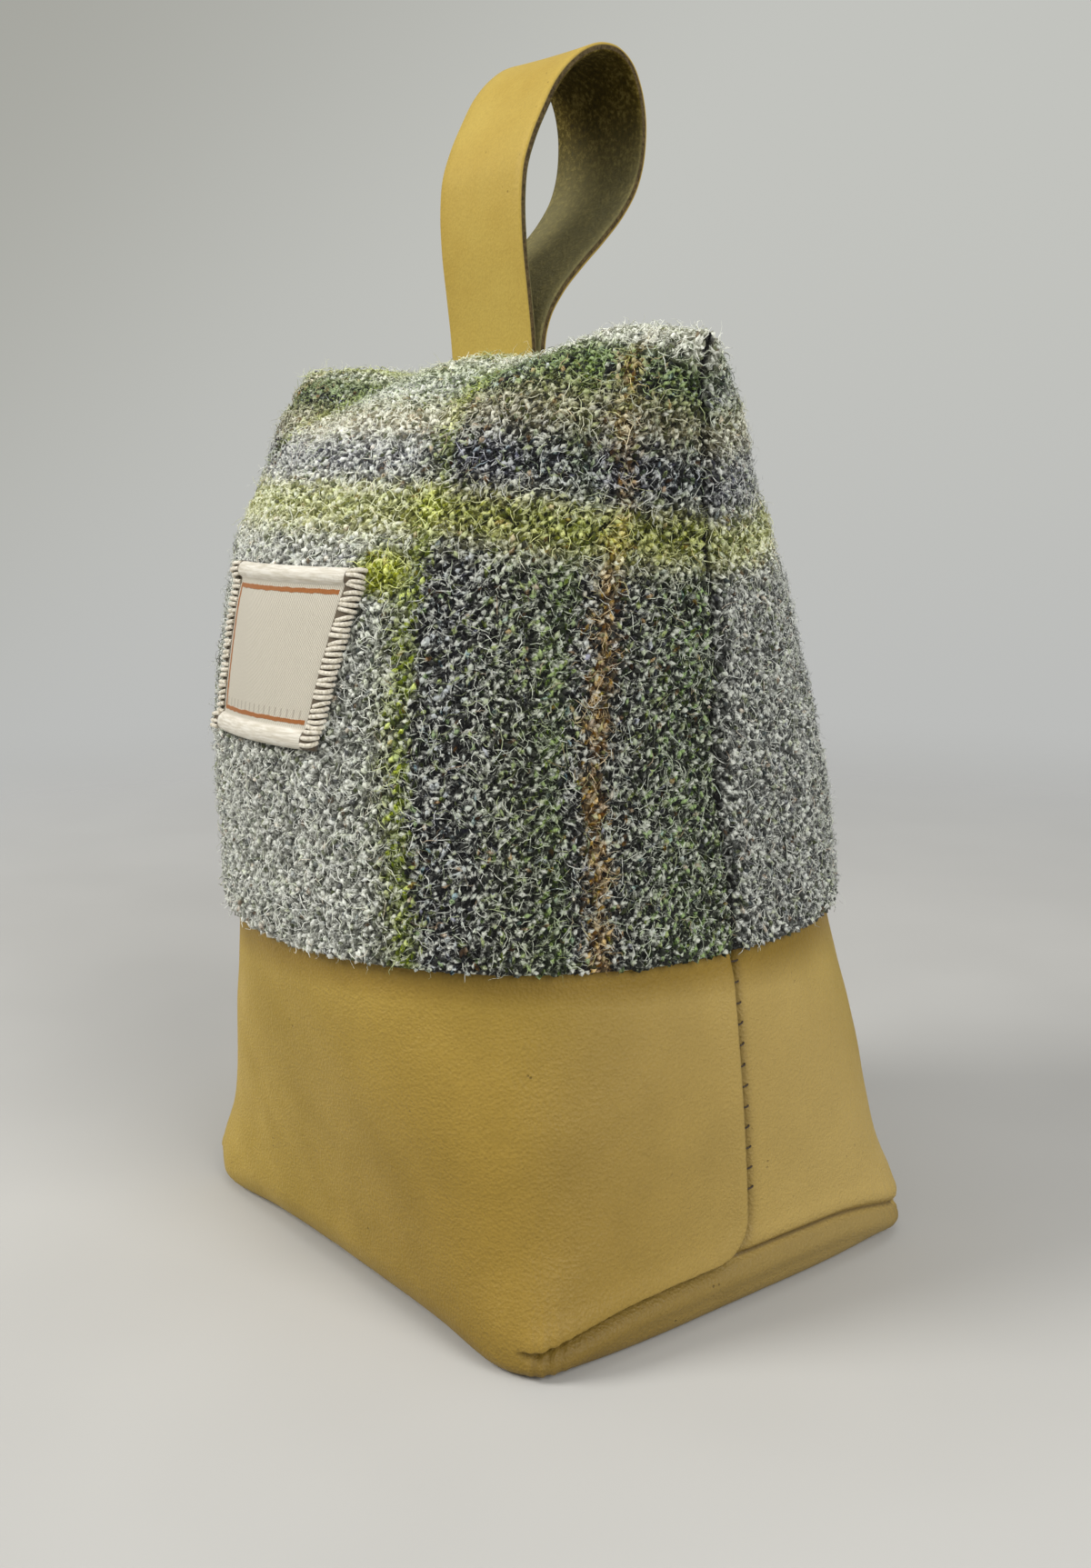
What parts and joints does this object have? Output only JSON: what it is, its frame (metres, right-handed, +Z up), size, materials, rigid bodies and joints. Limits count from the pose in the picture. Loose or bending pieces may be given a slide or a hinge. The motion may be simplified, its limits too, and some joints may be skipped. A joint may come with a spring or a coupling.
{
  "type": "door stop",
  "caption": "Weighted door stop: a chunky tweed bag drawn up to a ridge, on a folded tan leather base with boxed corners, with a leather strap loop to lift it and a blank label on the front.",
  "frame": {"origin": "centre of the leather base's flat underside, on the floor", "axes": "+Z up from the floor to the ridge and the strap loop, +X along the ridge to the right of the labelled front, and the labelled front faces -Y"},
  "size_m": [0.1557, 0.1446, 0.2698],
  "materials": {
    "base_leather": "semi-matt grained hide",
    "strap_leather": "smooth grain outside, suede inside",
    "tweed": "chunky wool twill with a soft check",
    "label_cloth": "woven satin",
    "seam_thread": "waxed sewing thread",
    "inner_bag": "plain cotton bag"
  },
  "bodies": {
    "root": {"leather_base": "base_leather", "tweed_front": "tweed", "tweed_back": "tweed", "handle_strap": "strap_leather", "woven_label": "label_cloth", "seam_thread_right": "seam_thread", "seam_thread_left": "seam_thread", "filling_bag": "inner_bag"}
  },
  "joints": []
}
